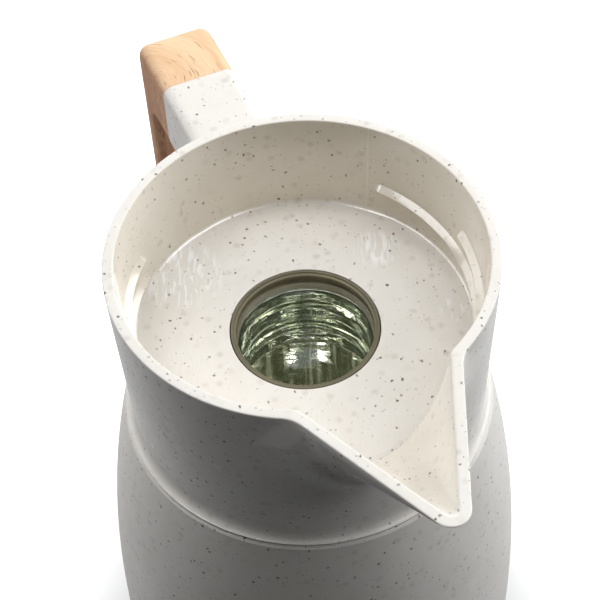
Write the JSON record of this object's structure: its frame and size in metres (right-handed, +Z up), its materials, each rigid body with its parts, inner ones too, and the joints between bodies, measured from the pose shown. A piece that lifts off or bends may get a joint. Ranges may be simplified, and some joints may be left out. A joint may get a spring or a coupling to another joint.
{
  "type": "thermal carafe",
  "caption": "Free-standing vacuum jug with an open pouring collar, V spout, wood D-handle, silvered glass liner and a screw-in base for changing the liner.",
  "frame": {"origin": "centre of the foot, on the surface that the carafe stands on", "axes": "+Z up along the axis of the body, +X towards the spout, the handle along -X"},
  "size_m": [0.1907, 0.1312, 0.215],
  "materials": {
    "speckled_plastic": "semi-gloss off-white with small dark fibre specks",
    "beech_wood": "satin light beech with short dark flecks",
    "taupe_silicone": "satin taupe",
    "silvered_glass": "silvered mirror behind pale green glass",
    "grey_rubber": "matt dark grey",
    "pale_felt": "matt pressed fibre",
    "steel": "zinc-plated screw"
  },
  "bodies": {
    "carafe": {"pouring_collar": "speckled_plastic", "body_shell": "speckled_plastic", "collar_seal": "grey_rubber", "mouth_seal": "taupe_silicone", "liner_inner_flask": "silvered_glass", "liner_outer_flask": "silvered_glass", "spacer_pad_1": "pale_felt", "spacer_pad_2": "pale_felt", "spacer_pad_3": "pale_felt", "foot_ring": "grey_rubber", "wood_grip": "beech_wood", "upper_grip_screw": "steel", "lower_grip_screw": "steel", "upper_screw_plug": "speckled_plastic", "lower_screw_plug": "speckled_plastic"},
    "cushion": {"liner_cushion": "grey_rubber"},
    "base": {"base_cap": "speckled_plastic", "base_seal": "grey_rubber"}
  },
  "joints": [
    {"name": "cap_drop", "type": "slide", "parent": "carafe", "child": "cushion", "axis": [0, 0, -1], "range_m": [0, 0.008]},
    {"name": "cap_turn", "type": "hinge", "parent": "cushion", "child": "base", "pos_m": [0, 0, 0.001], "axis": [0, 0, -1], "range_deg": [0, 360]}
  ],
  "couplings": [
    {"joint": "cap_drop", "follows": "cap_turn", "m_per_rad": 0.0012732}
  ]
}
